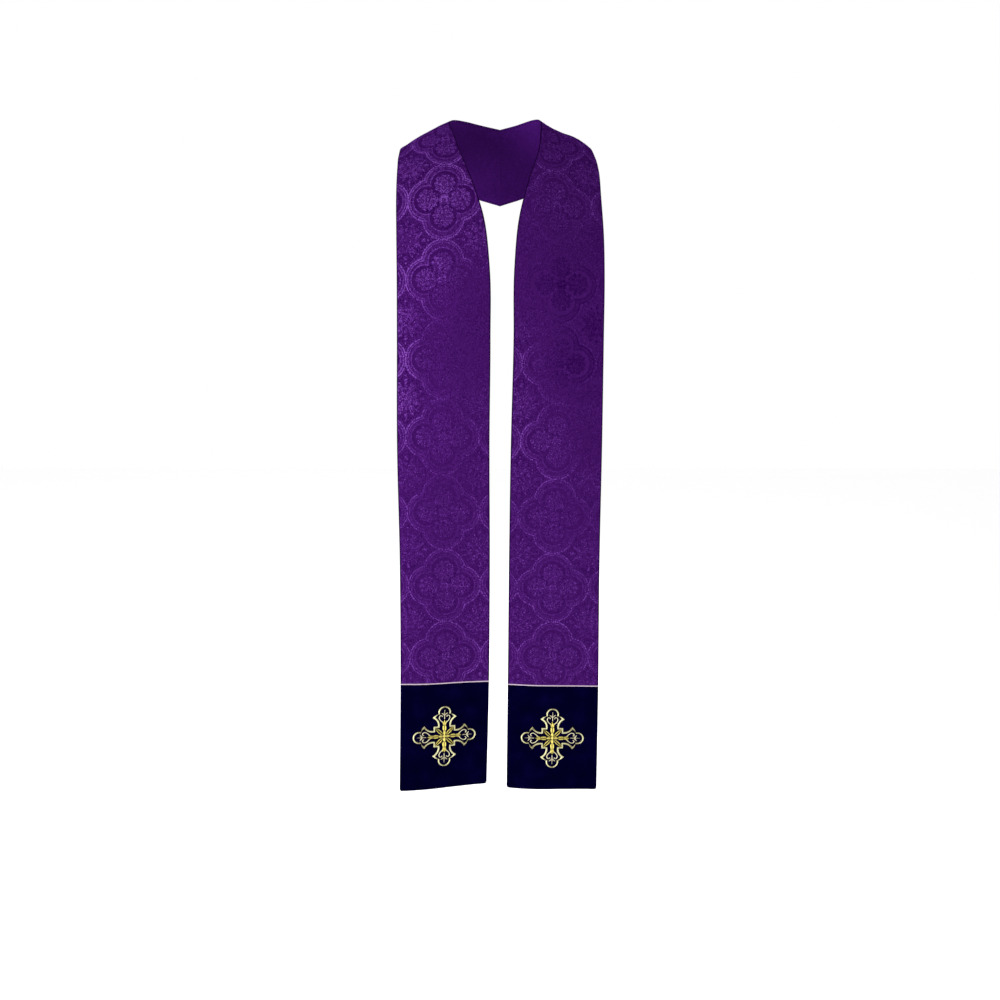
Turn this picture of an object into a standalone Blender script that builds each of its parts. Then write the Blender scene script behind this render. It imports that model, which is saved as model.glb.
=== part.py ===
"""A priest's stole, worn: two brocade strips from the back of the neck down the front.

Frame: the origin is the inner edge of the stole at the centre of the back of the neck.
+X is the viewer's right as the front is seen, the front faces -Y, and +Z is up.
"""

import math

import bmesh
import bpy
from mathutils import Vector

# Driving sizes, in metres.
MM = 0.001
CLOTH = 0.0024  # brocade or velvet with its stiffening, as one wall
SEAM_GAP = 0.0003  # left between two sewn pieces
BAND_HEIGHT = 0.203  # velvet end, from its seam to the hem
PIPING_DIAMETER = 0.0034
CROSS_REACH = 0.058  # centre of the cross to the tip of an arm
CROSS_THICKNESS = 0.0014  # padded satin stitch

# Spacing of the wall's facets.
SHOULDER_STEP = 0.0145  # along the strip, over the neck and the shoulder
SHOULDER_RUN = 0.430  # how far from the nape the shoulder's close facets go
HANGING_STEP = 0.040  # along the strip where it hangs
BAND_STEP = 0.0145
COLUMNS = 12  # facets across the strip
PROBE = 0.003  # distance over which the cloth's slope is read

# One row for each section across the strip, from the nape to the hem, in millimetres:
# where it is, the inner edge, the outer edge, how far its middle bows out from the straight
# line between them, and how far its inner half rolls out while its outer half rolls in.
PLACE, INNER, OUTER, BOW, ROLL = range(5)
SECTIONS = {
    "left": (
        ("nape seam", (0, 0, 0), (0, 42, -130), 1.0, 0.0),
        ("back of neck", (-34, -6, 6), (-56, 38, -114), 3.0, 0.0),
        ("trapezius", (-65, -24, 9), (-112, 20, -91), 4.0, 0.0),
        ("side of neck", (-85, -48, 5), (-158, -25, -61), 4.0, 0.0),
        ("shoulder ridge", (-90, -72, -6), (-176, -68, -48), 4.0, 0.0),
        ("collarbone", (-81, -102, -31), (-180, -98, -67), 3.0, 1.0),
        ("below collarbone", (-71, -131, -61), (-180, -122, -93), 4.0, 0.5),
        ("upper chest", (-48, -171, -119), (-179, -157, -148), 5.0, 0.0),
        ("breastbone", (-26, -197, -190), (-177, -182, -214), 5.0, 0.5),
        ("chest", (-17, -209, -270), (-176, -196, -280), 4.5, 1.5),
        ("below chest", (-16, -213, -389), (-177, -204, -391), 4.0, 2.0),
        ("waist", (-18, -213, -560), (-180, -208, -561), 3.5, 1.5),
        ("hip", (-18, -211, -775), (-179, -214, -776), 3.0, -1.0),
        ("band seam", (-20, -210, -1002), (-181, -225, -1002), 2.5, -2.0),
        ("hem", (-25, -210, -1207), (-185, -239, -1207), 2.0, -1.5),
    ),
    "right": (
        ("nape seam", (0, 0, 0), (0, 42, -130), 1.0, 0.0),
        ("back of neck", (29, -6, 6), (52, 38, -114), 3.0, 0.0),
        ("trapezius", (55, -24, 10), (104, 20, -90), 4.0, 0.0),
        ("side of neck", (70, -48, 6), (145, -25, -61), 3.5, -0.5),
        ("shoulder ridge", (73, -72, -6), (160, -68, -48), 3.5, -2.0),
        ("collarbone", (71, -102, -32), (169, -98, -70), 2.5, -1.0),
        ("below collarbone", (67, -131, -62), (173, -122, -96), 3.5, 0.0),
        ("upper chest", (49, -171, -119), (175, -154, -150), 5.0, 0.5),
        ("breastbone", (31, -197, -192), (178, -178, -216), 5.5, 1.0),
        ("chest", (24, -209, -270), (179, -191, -280), 5.0, 1.0),
        ("below chest", (23, -213, -389), (179, -198, -391), 4.0, 0.0),
        ("waist", (19, -214, -560), (179, -205, -560), 3.0, -1.0),
        ("hip", (16, -214, -775), (178, -212, -775), 3.0, -1.5),
        ("band seam", (14, -215, -1008), (180, -217, -1011), 3.0, 1.0),
        ("hem", (12, -216, -1212), (180, -221, -1213), 3.5, 2.0),
    ),
}

# The cross, in parts of its reach. An arm points up, and its left half mirrors its right.
LINE = 0.054  # width of the stitched outline
LOBE_CENTRE, LOBE_RADIUS = 0.800, 0.200
LOBE_BASE = 17.5  # degrees under the lobe's centre where its line ends
POINT = (0.385, 0.630)  # sharp corner where the arm is widest
NECK = (0.205, 0.345)  # where the arm's side meets the square step between two arms
STEP = 0.345  # corner of that step, as far across as up
SIDE_BEND, SHOULDER_BEND = 0.055, -0.022  # bow of the lines below and above the sharp corner
BAR_FOOT, BAR_TOP = (0.080, 0.205), (0.080, 0.440)  # edge of the filled bar up the arm
PETAL_ROOT, PETAL_TIP = (0.125, 0.165), (0.262, 0.282)  # edge of the petal between two arms
PETAL_BEND = 0.021
SCROLL = ((0.165, 0.560), (0.175, 0.610), (0.130, 0.665), (0.100, 0.735))  # its outer edge
HEART_TOP, HEART_SIDE, HEART_FOOT = (0.040, 0.640), (0.120, 0.600), (0.060, 0.480)
HEART_DIP = (0.0, 0.520)
HEART_BEND = -0.012
TIP_HALF_WIDTH, TIP_FOOT, TIP_TOP = 0.022, 0.775, 0.830  # spike that stands in the lobe
LONGEST_EDGE = 0.012  # in metres, so that flat facets keep to the curved band

# Colours as linear RGB.
BROCADE_COLOUR = (0.052, 0.012, 0.155)
VELVET_COLOUR = (0.010, 0.004, 0.030)
PIPING_COLOUR = (0.60, 0.46, 0.47)
GOLD_COLOUR = (0.63, 0.50, 0.20)


def new_material(name, colour, roughness, metallic=0.0):
    material = bpy.data.materials.new(name)
    material.use_nodes = True
    shader = material.node_tree.nodes["Principled BSDF"]
    shader.inputs["Base Color"].default_value = (*colour, 1.0)
    shader.inputs["Roughness"].default_value = roughness
    shader.inputs["Metallic"].default_value = metallic
    material.diffuse_color = (*colour, 1.0)
    return material


def add_object(name, mesh, material, collection):
    mesh.materials.append(material)
    mesh.shade_smooth()
    mesh.set_sharp_from_angle(angle=math.radians(40))
    obj = bpy.data.objects.new(name, mesh)
    collection.objects.link(obj)
    return obj


class Strip:
    """One side of the stole, as a smooth surface through its sections.

    A place on it is along, in metres from the nape seam down the middle of the strip, and
    part, which runs from 0 at the inner edge to 1 at the outer edge.
    """

    def __init__(self, sections):
        self.rows = [
            [value * MM for value in (*row[INNER], *row[OUTER], row[BOW], row[ROLL])]
            for row in sections
        ]
        middles = [(Vector(row[0:3]) + Vector(row[3:6])) / 2 for row in self.rows]
        self.knots = [0.0]
        for before, after in zip(middles, middles[1:]):
            self.knots.append(self.knots[-1] + (after - before).length)
        self.slopes = [self.slope_at(i) for i in range(len(self.rows))]
        self.length = self.knots[-1]
        self.side = 1.0 if self.rows[-1][3] > 0 else -1.0

    def slope_at(self, i):
        """Rate of change of each value at a section, weighted to its nearer neighbour."""
        rates, steps = [], []
        for a in (i - 1, i):
            if 0 <= a < len(self.rows) - 1:
                step = self.knots[a + 1] - self.knots[a]
                rates.append([(q - p) / step for p, q in zip(self.rows[a], self.rows[a + 1])])
                steps.append(step)
        if len(rates) == 1:
            return rates[0]
        nearness = steps[1] / sum(steps)
        return [p * nearness + q * (1 - nearness) for p, q in zip(*rates)]

    def section(self, along):
        """(inner edge, outer edge, bow, roll) of the section at a distance from the nape."""
        along = min(max(along, 0.0), self.length)
        i = 0
        while i < len(self.knots) - 2 and along > self.knots[i + 1]:
            i += 1
        step = self.knots[i + 1] - self.knots[i]
        t = (along - self.knots[i]) / step
        weighted = (
            (2 * t**3 - 3 * t**2 + 1, self.rows[i]),
            ((t**3 - 2 * t**2 + t) * step, self.slopes[i]),
            (-2 * t**3 + 3 * t**2, self.rows[i + 1]),
            ((t**3 - t**2) * step, self.slopes[i + 1]),
        )
        values = [sum(weight * row[k] for weight, row in weighted) for k in range(8)]
        return Vector(values[0:3]), Vector(values[3:6]), values[6], values[7]

    def outward(self, along):
        """Unit vector out of the section, away from the wearer."""
        inner, outer, _, _ = self.section(along)
        above_inner, above_outer, _, _ = self.section(along - PROBE)
        below_inner, below_outer, _, _ = self.section(along + PROBE)
        down = below_inner + below_outer - above_inner - above_outer
        return down.cross(outer - inner).normalized() * self.side

    def place(self, along, part):
        """Point of the outer face, where part runs from 0 at the inner edge to 1."""
        inner, outer, bow, roll = self.section(along)
        out = bow * 4 * part * (1 - part) + roll * math.sin(2 * math.pi * part)
        return inner.lerp(outer, part) + self.outward(along) * out

    def normal(self, along, part):
        """Unit vector out of the cloth at a place on it."""
        down = self.place(along + PROBE, part) - self.place(along - PROBE, part)
        over = self.place(along, min(part + 0.01, 1.0)) - self.place(along, max(part - 0.01, 0.0))
        return down.cross(over).normalized() * self.side

    def point(self, along, part, lift=0.0):
        """Point at a height over the outer face. The nape seam's edge stays in a flat plane."""
        place = self.place(along, part) + self.normal(along, part) * lift
        if along <= 0.0:
            place.x = self.side * SEAM_GAP / 2
        return place

    def on_band(self, across, up, lift):
        """Point over the velvet end, from its middle."""
        along = self.length - BAND_HEIGHT / 2 - up
        inner, outer, _, _ = self.section(along)
        width = (outer - inner).length
        return self.point(along, 0.5 + self.side * across / width, lift)


def spread(start, end, step):
    """Evenly spaced distances from start to end, near the given step."""
    count = max(1, round((end - start) / step))
    return [start + (end - start) * i / count for i in range(count + 1)]


def cloth_wall(name, strip, stations, material, collection):
    """Closed wall of cloth: the outer face, the inner face behind it, and their joined rims."""
    mesh = bpy.data.meshes.new(name)
    shape = bmesh.new()
    last = len(stations) - 1
    for lift in (0.0, -CLOTH):
        grid = bmesh.ops.create_grid(shape, x_segments=COLUMNS, y_segments=last, size=0.5)
        for vert in grid["verts"]:
            along = stations[round((vert.co.y + 0.5) * last)]
            vert.co = strip.point(along, vert.co.x + 0.5, lift)
    rims = [edge for edge in shape.edges if edge.is_boundary]
    bmesh.ops.bridge_loops(shape, edges=rims)
    bmesh.ops.recalc_face_normals(shape, faces=shape.faces)
    shape.to_mesh(mesh)
    shape.free()
    return add_object(name, mesh, material, collection)


def piping(name, strip, along, material, collection):
    """Round cord across the strip, centred in the cloth's wall."""
    curve = bpy.data.curves.new(name, "CURVE")
    curve.dimensions = "3D"
    curve.bevel_depth = PIPING_DIAMETER / 2
    curve.bevel_resolution = 2
    curve.use_fill_caps = True
    spline = curve.splines.new("POLY")
    spline.points.add(COLUMNS)
    for i, point in enumerate(spline.points):
        point.co = (*strip.point(along, i / COLUMNS, -CLOTH / 2), 1.0)
    curve.materials.append(material)
    obj = bpy.data.objects.new(name, curve)
    collection.objects.link(obj)
    return obj


def arc(centre, radius, start, end, count):
    """Points on a circle from one angle to another, in degrees from +X."""
    angles = [math.radians(start + (end - start) * i / count) for i in range(count + 1)]
    return [(centre[0] + radius * math.cos(a), centre[1] + radius * math.sin(a)) for a in angles]


def bent(start, end, bend, count):
    """Points between two ends, bowed to the left of the way from start to end."""
    across = (start[1] - end[1], end[0] - start[0])
    length = math.hypot(*across)
    points = []
    for i in range(count + 1):
        t = i / count
        out = bend * 4 * t * (1 - t) / length
        points.append(
            (
                start[0] + (end[0] - start[0]) * t + across[0] * out,
                start[1] + (end[1] - start[1]) * t + across[1] * out,
            )
        )
    return points


def mirrored(points):
    return [(-x, y) for x, y in reversed(points)]


def turned(points, quarter):
    for _ in range(quarter):
        points = [(-y, x) for x, y in points]
    return points


def arm_outline(inset):
    """Half of an arm's edge, from the step's corner to the middle of the lobe, moved in."""
    lobe = arc((0.0, LOBE_CENTRE), LOBE_RADIUS - inset, -LOBE_BASE, 90, 6)
    sharp = (POINT[0] - 2.1 * inset, POINT[1] + 0.15 * inset)
    side = bent((NECK[0] - inset, NECK[1] - inset), sharp, SIDE_BEND, 5)
    shoulder = bent(sharp, lobe[0], SHOULDER_BEND, 3)
    return [(STEP - inset, STEP - inset)], side, shoulder[1:-1], lobe


def cross_outline():
    """The whole outer edge of the cross, anticlockwise."""
    half = sum(arm_outline(0.0), [])
    arm = half + mirrored(half)[1:-1]
    return [point for quarter in range(4) for point in turned(arm, quarter)]


def arm_windows():
    """Open patches of one arm: beside the bar on each side, inside the heart, in the lobe."""
    _, side, shoulder, _ = arm_outline(LINE)
    petal = bent(PETAL_ROOT, PETAL_TIP, PETAL_BEND, 3)
    beside = [BAR_FOOT, *petal, *side, *shoulder, *reversed(SCROLL), BAR_TOP]
    heart = [HEART_DIP, *bent(HEART_FOOT, HEART_SIDE, HEART_BEND, 3), HEART_TOP]
    heart += mirrored(heart)[:-1]
    tip = [(-TIP_HALF_WIDTH, TIP_FOOT), (0.0, TIP_TOP), (TIP_HALF_WIDTH, TIP_FOOT)]
    lobe = arc((0.0, LOBE_CENTRE), LOBE_RADIUS - LINE, -10, 190, 10) + tip
    return [beside, mirrored(beside), heart, lobe]


def cross(name, strip, material, collection):
    """Raised embroidery, flat first and then laid on the velvet end."""
    flat = bpy.data.curves.new(name, "CURVE")
    flat.dimensions = "2D"
    flat.fill_mode = "BOTH"
    flat.extrude = CROSS_THICKNESS / 2
    windows = [turned(w, quarter) for quarter in range(4) for w in arm_windows()]
    for outline in (cross_outline(), *windows):
        spline = flat.splines.new("POLY")
        spline.points.add(len(outline) - 1)
        spline.use_cyclic_u = True
        for point, (x, y) in zip(spline.points, outline):
            point.co = (x * CROSS_REACH, y * CROSS_REACH, 0.0, 1.0)
    guide = bpy.data.objects.new(name + "_guide", flat)
    collection.objects.link(guide)
    graph = bpy.context.evaluated_depsgraph_get()
    mesh = bpy.data.meshes.new_from_object(guide.evaluated_get(graph))
    mesh.name = name
    bpy.data.objects.remove(guide)
    shape = bmesh.new()
    shape.from_mesh(mesh)
    bmesh.ops.remove_doubles(shape, verts=shape.verts, dist=1e-5)
    bmesh.ops.beautify_fill(shape, faces=shape.faces, edges=shape.edges)
    long_edges = [edge for edge in shape.edges if edge.calc_length() > LONGEST_EDGE]
    bmesh.ops.subdivide_edges(shape, edges=long_edges, cuts=1)
    bmesh.ops.triangulate(shape, faces=shape.faces)
    for vert in shape.verts:
        lift = SEAM_GAP + CROSS_THICKNESS / 2 + vert.co.z
        vert.co = strip.on_band(vert.co.x, vert.co.y, lift)
    bmesh.ops.recalc_face_normals(shape, faces=shape.faces)
    shape.to_mesh(mesh)
    shape.free()
    return add_object(name, mesh, material, collection)


def build():
    for obj in list(bpy.data.objects):
        bpy.data.objects.remove(obj)
    collection = bpy.data.collections.new("clerical_stole")
    bpy.context.scene.collection.children.link(collection)
    brocade = new_material("brocade", BROCADE_COLOUR, 0.5)
    velvet = new_material("velvet", VELVET_COLOUR, 0.9)
    cord = new_material("piping", PIPING_COLOUR, 0.6)
    gold = new_material("gold_thread", GOLD_COLOUR, 0.35, metallic=0.6)
    for side, sections in SECTIONS.items():
        strip = Strip(sections)
        seam = strip.length - BAND_HEIGHT
        half_seam = PIPING_DIAMETER / 2 + SEAM_GAP
        panel_stations = spread(0.0, SHOULDER_RUN, SHOULDER_STEP)
        panel_stations += spread(SHOULDER_RUN, seam - half_seam, HANGING_STEP)[1:]
        band_stations = spread(seam + half_seam, strip.length, BAND_STEP)
        cloth_wall(f"panel_{side}", strip, panel_stations, brocade, collection)
        cloth_wall(f"band_{side}", strip, band_stations, velvet, collection)
        piping(f"piping_{side}", strip, seam, cord, collection)
        cross(f"cross_{side}", strip, gold, collection)


build()
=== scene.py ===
"""A priest's stole in its worn form: the finished looks of its brocade, velvet and gold."""

import math

import bmesh
import bpy
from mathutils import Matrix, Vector, noise


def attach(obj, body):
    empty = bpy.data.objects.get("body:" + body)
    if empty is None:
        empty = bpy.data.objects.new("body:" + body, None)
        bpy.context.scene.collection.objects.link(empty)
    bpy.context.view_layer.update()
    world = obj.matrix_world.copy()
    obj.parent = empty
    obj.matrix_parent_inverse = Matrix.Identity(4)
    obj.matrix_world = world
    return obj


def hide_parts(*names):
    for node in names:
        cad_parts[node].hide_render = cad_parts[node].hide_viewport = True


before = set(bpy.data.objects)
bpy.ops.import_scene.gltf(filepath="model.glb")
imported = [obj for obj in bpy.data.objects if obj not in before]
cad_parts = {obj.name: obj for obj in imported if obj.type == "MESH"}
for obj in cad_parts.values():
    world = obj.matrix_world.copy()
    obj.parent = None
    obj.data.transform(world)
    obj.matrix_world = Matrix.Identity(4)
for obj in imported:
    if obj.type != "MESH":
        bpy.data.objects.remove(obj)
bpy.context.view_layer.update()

# ----------
# The brocade strips. Purple figured damask over a stiffening, with a plain purple reverse
# and pressed, turned edges. Each strip is cut with its outer edge on the straight grain,
# tapered from the inner side, and a mitred seam joins the two at the nape.
MM = 0.001
CLOTH = 0.0024  # the whole wall, face to reverse
BAND_HEIGHT = 0.203  # velvet end, from its seam to the hem
PIPING_DIAMETER = 0.0024
FACE_STEP = 0.00143  # spacing of the face's rows, close enough to carry the figure
FACE_COLUMNS = 98
REVERSE_COLUMNS = 12
ROUND_STEPS = 3  # rows that round the wall's edge over
SEAM_MERGE = 2e-4  # points of the face and the reverse this near each other are joined
NAPE_DIP, NAPE_RUN = 0.0007, 0.0022  # how the pressed nape seam sinks in
FIGURE_HEIGHT = 0.00016  # how far the figured bands stand over the ground
FIGURE_EDGE = (0.0006, 0.0040)  # from the strip's edge, where that height begins and is full
PROBE, PROBE_PART = 0.003, 0.01  # steps along and across a strip that give its slopes
GRAIN_FROM = 0.62  # how far from the nape the weave lies square across the strip

# One row for each section across a strip, from the nape to the hem, in millimetres: the
# inner edge, the outer edge, how far the middle bows out, and how far the inner half rolls
# out while the outer half rolls in.
INNER, OUTER, BOW, ROLL = range(4)
SECTIONS = {
    "left": (
        ((0, 0, 0), (0, 42, -130), 1.0, 0.0),  # nape seam
        ((-34, -6, 6), (-56, 38, -114), 3.0, 0.0),
        ((-65, -24, 9), (-112, 20, -91), 4.0, 0.0),
        ((-85, -48, 5), (-158, -25, -61), 4.0, 0.0),  # side of the neck
        ((-90, -72, -6), (-176, -68, -48), 4.0, 0.0),  # ridge of the shoulder
        ((-81, -102, -31), (-180, -98, -67), 3.0, 1.0),
        ((-71, -131, -61), (-180, -122, -93), 4.0, 0.5),
        ((-48, -171, -119), (-179, -157, -148), 5.0, 0.0),
        ((-26, -197, -190), (-177, -182, -214), 5.0, 0.5),  # full width
        ((-17, -209, -270), (-176, -196, -280), 4.5, 1.5),
        ((-16, -213, -389), (-177, -204, -391), 4.0, 2.0),
        ((-18, -213, -560), (-180, -208, -561), 3.5, 1.5),
        ((-18, -211, -775), (-179, -214, -776), 3.0, -1.0),
        ((-20, -210, -1002), (-181, -225, -1002), 2.5, -2.0),  # band seam
        ((-25, -210, -1207), (-185, -239, -1207), 2.0, -1.5),  # hem
    ),
    "right": (
        ((0, 0, 0), (0, 42, -130), 1.0, 0.0),
        ((29, -6, 6), (52, 38, -114), 3.0, 0.0),
        ((55, -24, 10), (104, 20, -90), 4.0, 0.0),
        ((70, -48, 6), (145, -25, -61), 3.5, -0.5),
        ((73, -72, -6), (160, -68, -48), 3.5, -2.0),
        ((71, -102, -32), (169, -98, -70), 2.5, -1.0),
        ((67, -131, -62), (173, -122, -96), 3.5, 0.0),
        ((49, -171, -119), (175, -154, -150), 5.0, 0.5),
        ((31, -197, -192), (178, -178, -216), 5.5, 1.0),
        ((24, -209, -270), (179, -191, -280), 5.0, 1.0),
        ((23, -213, -389), (179, -198, -391), 4.0, 0.0),
        ((19, -214, -560), (179, -205, -560), 3.0, -1.0),
        ((16, -214, -775), (178, -212, -775), 3.0, -1.5),
        ((14, -215, -1008), (180, -217, -1011), 3.0, 1.0),
        ((12, -216, -1212), (180, -221, -1213), 3.5, 2.0),
    ),
}

# The soft creases of each strip: how far from the nape, the place across (0 at the inner
# edge), half its length and half its width in millimetres, its height (a trough is less
# than nought), and its heading in degrees from the strip's length.
CREASE_RUN, CREASE_SIZES = 0.3, 3  # how far along one is felt, and over how many half sizes
CREASES = {
    "left": (
        (205, 0.30, 60, 9, 1.3, 24),
        (225, 0.72, 48, 8, -1.2, -18),
        (285, 0.18, 55, 10, -1.1, 14),
        (345, 0.66, 80, 14, 1.0, 8),
        (430, 0.30, 95, 16, -0.9, -6),
        (560, 0.75, 120, 20, 0.9, 5),
        (700, 0.25, 130, 22, -0.9, -3),
        (860, 0.60, 140, 24, 0.9, 4),
        (1010, 0.22, 110, 18, 0.8, -4),
        (1105, 0.80, 80, 15, -0.7, 7),
        (60, 0.45, 38, 9, 1.0, 78),
        (120, 0.62, 44, 8, -1.0, 66),
    ),
    "right": (
        (198, 0.36, 52, 9, -1.2, -22),
        (232, 0.68, 60, 8, 1.2, 16),
        (300, 0.24, 50, 11, 1.0, -12),
        (372, 0.74, 85, 13, -1.0, 9),
        (450, 0.40, 90, 17, 0.9, 4),
        (590, 0.20, 120, 18, -0.9, -5),
        (745, 0.70, 140, 22, 0.9, 3),
        (905, 0.34, 125, 25, -0.9, 5),
        (1035, 0.78, 100, 17, 0.8, -6),
        (1120, 0.28, 76, 14, 0.7, 6),
        (55, 0.55, 36, 8, -0.9, 74),
        (118, 0.40, 46, 9, 1.0, 62),
    ),
}

# The damask's repeat, in metres. A quatrefoil of four round lobes fills it, with a double
# outline, a grained band, an inner line and a smooth dark ring round its flowers. The next
# quatrefoils touch its outline on all four sides. Its figures are charted for one quarter
# of the repeat, from the quatrefoil's centre, and mirrored to the rest.
REPEAT = (0.1275, 0.1330)
REPEAT_AT = {"left": (0.0797, 0.3545), "right": (0.0825, 0.3470)}  # from the outer edge, the nape
# How the weave is pulled out of square, in millimetres. Each row holds above the first
# distance from the nape and is gone below the second, and moves the figure away from the
# outer edge and down the strip.
PULLS = {
    "left": (
        (250, 490, 11.0, 0.0),
        (260, 430, 0.0, -10.0),
        (1000, 1130, -2.0, 0.0),
        (1300, 1400, 2.0, 0.0),
    ),
    "right": (
        (250, 500, 11.5, 0.0),
        (500, 720, -3.5, 0.0),
        (720, 1000, -4.5, 0.0),
        (930, 1090, 0.0, 7.0),
        (1300, 1400, 1.5, -7.0),
    ),
}
SIDE_LOBE, TOP_LOBE, LOBE = 0.0282, 0.0305, 0.0360  # the lobes' centres and their radius
SIDE_RING, TOP_RING, RING = 0.0295, 0.0284, 0.0240  # and those of the rings inside them
BAND_RISE, RING_FALL = (-0.0012, 0.0006), (0.0002, -0.0014)  # slopes of the raised band
MIDDLE_RISE = (0.020, 0.026)  # it starts this far from the quatrefoil's centre
# Woven lines: how far each lies inside its lobes, or inside its rings, and half its width.
EDGE_LINE, SECOND_LINE, GAP_LINE = (0.0004, 0.0019), (0.0040, 0.0015), (0.0022, 0.0012)
INNER_LINE = (-0.0008, 0.0014)
BEADS, BEAD_PITCH = (0.0078, -0.0042), 0.0047
BEAD = (0.0013, 0.00052)  # its radius, and where it is full
# Flowers of round petals, in millimetres: their centre and the radius of the bud, then for
# each whorl of petals its radius, how many there are, and the radius of one.
FLOWERS = (
    (28.2, 0.0, 3.8, ((7.4, 6, 4.2), (14.5, 10, 4.7))),
    (0.0, 27.6, 3.8, ((7.4, 6, 4.2), (14.3, 10, 4.7))),
    (0.0, 0.0, 3.0, ((7.0, 7, 3.6),)),
    (63.75, 66.5, 4.0, ((9.0, 6, 5.0), (19.0, 9, 6.4))),
)
# Leaves and dots between the quatrefoils, in millimetres: centre, half length, half width,
# and heading in degrees from the cross grain.
LEAVES = (
    (34.0, 65.4, 4.8, 2.1, 0),
    (62.8, 36.8, 5.0, 2.2, 90),
    (38.4, 56.2, 4.6, 2.0, 58),
    (53.4, 40.8, 4.6, 2.0, 32),
    (46.2, 47.8, 1.7, 1.7, 0),
    (42.2, 50.4, 1.5, 1.5, 0),
    (49.6, 44.6, 1.5, 1.5, 0),
    (42.4, 44.8, 1.4, 1.4, 0),
    (25.6, 66.2, 1.7, 1.7, 0),
    (63.5, 27.8, 1.7, 1.7, 0),
)
LEAF_REACH = 0.009  # no leaf reaches further than this from its centre
LEAF_SLOPE, LEAF_HEIGHT = (1.15, 0.6), 0.8  # in parts of its size and of the figure's height
BUD_TOP, PETAL_TOP = 0.4, 0.5  # the share of its radius that stands at full height
# The same three as they are drawn in the weave: where each begins and is full.
BUD_DRAWN, PETAL_DRAWN, LEAF_DRAWN = (1.2, 0.4), (1.12, 0.70), (1.12, 0.62)
# Ribs where two quatrefoils meet: from there, where they end and are full.
RIB_PITCH, RIBS_ACROSS, RIBS_DOWN = 0.0026, (0.0100, 0.0060), (0.0062, 0.0031)
# Painted sheen: how clearly the light brings the figure out, painted into the colour, and
# below nought where the light turns it over: all over, then patches as far from the nape,
# place across, half run, half width (mm) and amount.
SHEEN_LEVELS = {
    "left": (0.72, (
        (330, 0.50, 75, 120, 0.50),
        (455, 0.72, 45, 45, 0.45),
        (412, 0.95, 34, 45, -0.50),
        (500, 0.15, 60, 50, -0.45),
        (610, 0.25, 105, 100, -0.78),
        (600, 0.97, 90, 26, 0.75),
        (700, 0.95, 60, 24, 0.50),
        (745, 0.35, 50, 90, -0.25),
        (830, 0.45, 50, 90, -0.50),
        (930, 0.50, 60, 90, -0.30),
        (1090, 0.60, 120, 100, -0.24),
    )),
    "right": (0.46, (
        (250, 0.60, 70, 70, 0.15),
        (395, 0.20, 60, 60, -0.15),
        (470, 0.05, 110, 40, -0.25),
        (395, 0.95, 34, 30, -0.60),
        (482, 0.64, 62, 76, -1.12),
        (548, 0.90, 34, 40, -0.50),
        (615, 0.74, 62, 62, -1.10),
        (612, 0.05, 60, 34, 0.25),
        (744, 0.90, 55, 46, -0.50),
        (744, 0.10, 60, 34, 0.25),
        (877, 0.80, 45, 60, -0.25),
        (1080, 0.50, 130, 120, 0.06),
    )),
}


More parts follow.
